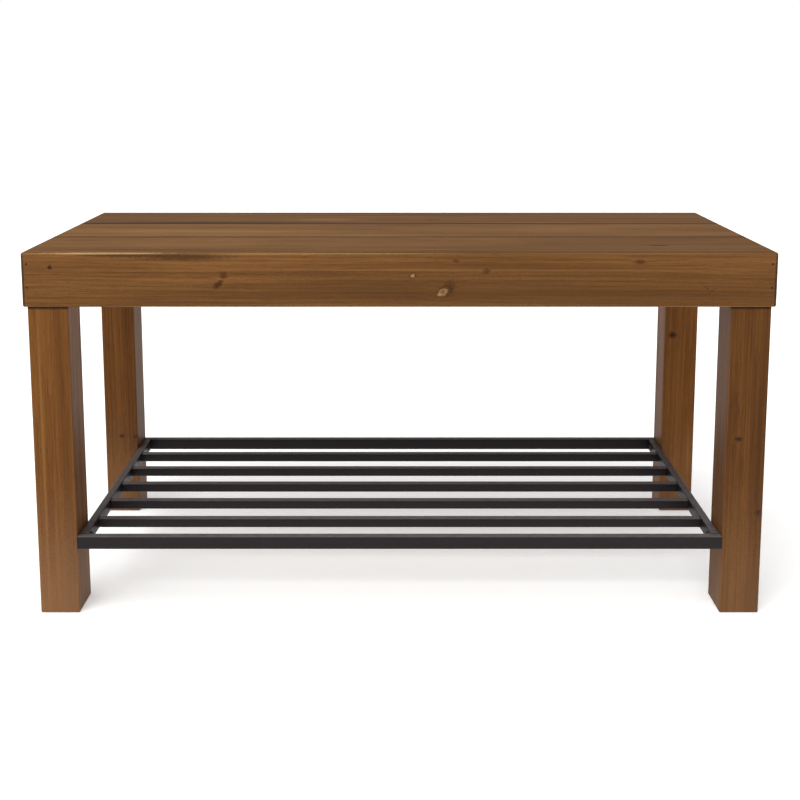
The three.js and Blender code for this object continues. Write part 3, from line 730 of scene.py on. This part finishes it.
for number, (name, (side_x, side_y)) in enumerate(CORNERS.items()):
    low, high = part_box(f"leg_{name}")
    leg = blank(f"{name}_leg", low, (high.x, high.y, SHOULDER))
    round_edges(leg, LEG_CORNER_ROUND, 5, lambda middle, way: abs(way.z) > 0.9)
    round_edges(leg, LEG_FOOT_ROUND, 4, lambda middle, way: abs(middle.z - low.z) < TINY)
    far_x = cad_high.x - min(abs(low.x), abs(high.x))
    far_y = cad_high.y - min(abs(low.y), abs(high.y))
    near = from_corner(side_x, side_y, POST_INSET, POST_INSET, SHOULDER)
    far = from_corner(side_x, side_y, far_x - POST_STEP, far_y - POST_STEP, SHOULDER)
    raise_post(leg, low, high, near, far)
    cut_flat(leg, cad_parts[f"leg_{name}"], far_x, far_y)
    # painted reflection of the white floor: the leg is made paler towards its foot
    foot_reflection = mark((0, 0, 0), (5.0, 0.10), 1, FOOT_PAINTED_REFLECTION_TONE, soft=1.0, strength=FOOT_PAINTED_REFLECTION_STRENGTHS[name], deep=50)
    # painted shadow of the edge boards, a dark band round the leg where it goes up under them
    shadow_under_board = mark((0, 0, SHOULDER), (5.0, 0.0024), 1, UNDER_BOARD_PAINTED_SHADOW, soft=0.4, strength=0.85, deep=50)
    stained = pine(f"stained_pine_{name}_leg", 2, LEG_HEARTS[name], 21.7 + number, LEG_TONES,
                   LEG_MARKS[name] + [foot_reflection, shadow_under_board], ring_depth=0.12, gloss=0.47, shine=0.10, worn=0.5,
                   worn_tone=(0.26, 0.115, 0.036), shade=LEG_PAINTED_LIGHT[name])
    finish_piece(leg, stained, f"leg_{name}")


# ---- Corner braces, bolts and nuts --------------------------------------------------------------
# Bare pine blocks glued across the inside corners of the top. A zinc-plated bolt in each leg comes through
# the block, and a flange nut on it pulls the leg up tight into the corner.

for number, name in enumerate(CORNERS):
    low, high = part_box(f"corner_brace_{name}")
    heart = (low.y - 0.02, low.z + 0.06)
    coat([f"corner_brace_{name}"], bare_pine(f"bare_pine_{name}_brace", 0, heart, 31.2 + number))
    coat([f"leg_bolt_{name}", f"flange_nut_{name}"], zinc_plate)


# ---- Shelf --------------------------------------------------------------------------------------
# A frame of rectangular steel tube with five lighter slats welded between its side rails, all in a satin
# black powder coat. The front and rear rails lie flush with the outer faces of the legs.

TUBE_ROUND = 0.0013
TUBE_WALL = 0.0012
TUBE_DEPTH = 0.008  # how far in the open ends are hollow
# the shelf's coat gets a painted sheen on its tops and a painted highlight along its edges
powder_coat = coated_metal("black_powder_coat", (0.0100, 0.0062, 0.0072), 0.0, 0.36, 0.2, mottle=0.12,
                           grain=0.0009, dent=0.00005, painted_top_sheen=0.75, paler_edges=0.6)


def steel_tube(node, name, run):
    """A length of tube with rounded corners and open ends, filling its CAD node's place."""
    low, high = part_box(node)
    tube = blank(name, low, high)
    round_edges(tube, TUBE_ROUND, 4, lambda middle, way: abs(way[run]) > 0.9)
    for end in (-1, 1):
        pick_faces(tube, lambda face: face.normal[run] * end > 0.99)
        bpy.ops.mesh.inset(thickness=TUBE_WALL)
        inwards = [0.0, 0.0, 0.0]
        inwards[run] = -end * TUBE_DEPTH
        bpy.ops.mesh.extrude_region_move(TRANSFORM_OT_translate={"value": inwards})
        close_up()
    finish_piece(tube, powder_coat, node)


for name, run in (("front", 0), ("rear", 0), ("left", 1), ("right", 1)):
    steel_tube(f"shelf_rail_{name}", f"{name}_rail", run)
for node in nodes_called("shelf_slat_"):
    steel_tube(node, node.replace("shelf_", ""), 0)


# ---- Shelf screws -------------------------------------------------------------------------------
# Black pan-head steel screws with a cross slot. Each one goes through a side rail, near a corner of the
# shelf, into the inner face of a leg.

HEAD_SIDES = 32
HEAD_STEPS = 5
HEAD_ARC = math.radians(80)  # how much of a quarter circle the dome takes up
SHANK_RADIUS = 0.002
POINT_LENGTH = 0.005
POINT_SHARE = 0.1  # how wide the tip is, against the shank
SLOT_LENGTH = 0.0046
SLOT_WIDTH = 0.0009
SLOT_DEPTH = 0.0014
LEFT_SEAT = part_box("shelf_rail_left")[1].x + MITRE_GAP
RIGHT_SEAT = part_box("shelf_rail_right")[0].x - MITRE_GAP
screw_black = coated_metal("black_screw_finish", (0.030, 0.028, 0.029), 0.5, 0.28, 0.5, mottle=0.15)


def dome_head(screw, inwards, height, centre):
    """Raises a disc into a domed head, ring by ring, towards the middle of the bench."""
    open_up(screw, "FACE")
    bpy.ops.mesh.select_all(action="SELECT")
    risen = 0.0
    width = 1.0
    for step in range(1, HEAD_STEPS + 1):
        angle = step / HEAD_STEPS * HEAD_ARC
        rise = height * math.sin(angle) / math.sin(HEAD_ARC)
        share = math.cos(angle)
        bpy.ops.mesh.extrude_region_move(TRANSFORM_OT_translate={"value": (0, 0, 0)})
        bpy.ops.transform.translate(value=(inwards * (rise - risen), 0, 0))
        bpy.ops.transform.resize(value=(1, share / width, share / width), center_override=centre)
        risen = rise
        width = share
    close_up()


def draw_shank(screw, inwards, seat_x, radius, length, centre):
    """Draws the shank out of the flat side of the head and brings it to a point."""
    def is_flat_side(face):
        return len(face.verts) == HEAD_SIDES and abs(face.calc_center_median().x - seat_x) < TINY

    pick_faces(screw, is_flat_side)
    bpy.ops.mesh.inset(thickness=radius - SHANK_RADIUS)
    for part in (length - POINT_LENGTH, POINT_LENGTH):
        bpy.ops.mesh.extrude_region_move(TRANSFORM_OT_translate={"value": (-inwards * part, 0, 0)})
    bpy.ops.transform.resize(value=(1, POINT_SHARE, POINT_SHARE), center_override=centre)
    bpy.ops.mesh.select_all(action="SELECT")
    bpy.ops.mesh.normals_make_consistent(inside=False)
    close_up()


def pan_head_screw(node, name):
    """A screw along the length of the bench, with its head towards the middle."""
    low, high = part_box(node)
    middle = (low + high) / 2
    radius = (high.z - low.z) / 2
    is_right = middle.x > 0
    inwards = -1 if is_right else 1
    seat_x = RIGHT_SEAT if is_right else LEFT_SEAT
    crown_x, point_x = (low.x, high.x) if is_right else (high.x, low.x)
    bpy.ops.object.select_all(action="DESELECT")
    bpy.ops.mesh.primitive_circle_add(vertices=HEAD_SIDES, radius=radius, fill_type="NGON",
                                      location=(seat_x, middle.y, middle.z), rotation=(0, math.pi / 2, 0))
    screw = bpy.context.object
    screw.name = name
    bpy.ops.object.transform_apply(location=True, rotation=True, scale=True)
    centre = (0, middle.y, middle.z)
    dome_head(screw, inwards, abs(seat_x - crown_x), centre)
    draw_shank(screw, inwards, seat_x, radius, abs(point_x - seat_x), centre)
    for turn in (0, math.pi / 2):
        bpy.ops.object.select_all(action="DESELECT")
        bpy.ops.mesh.primitive_cube_add(size=1, location=(crown_x, middle.y, middle.z), rotation=(turn, 0, 0),
                                        scale=(2 * SLOT_DEPTH, SLOT_LENGTH, SLOT_WIDTH))
        cut_out(screw, bpy.context.object)
    finish_piece(screw, screw_black, node, sharp=40)


for node in nodes_called("shelf_screw_"):
    pan_head_screw(node, node.replace("shelf_", "shelf_pan_"))
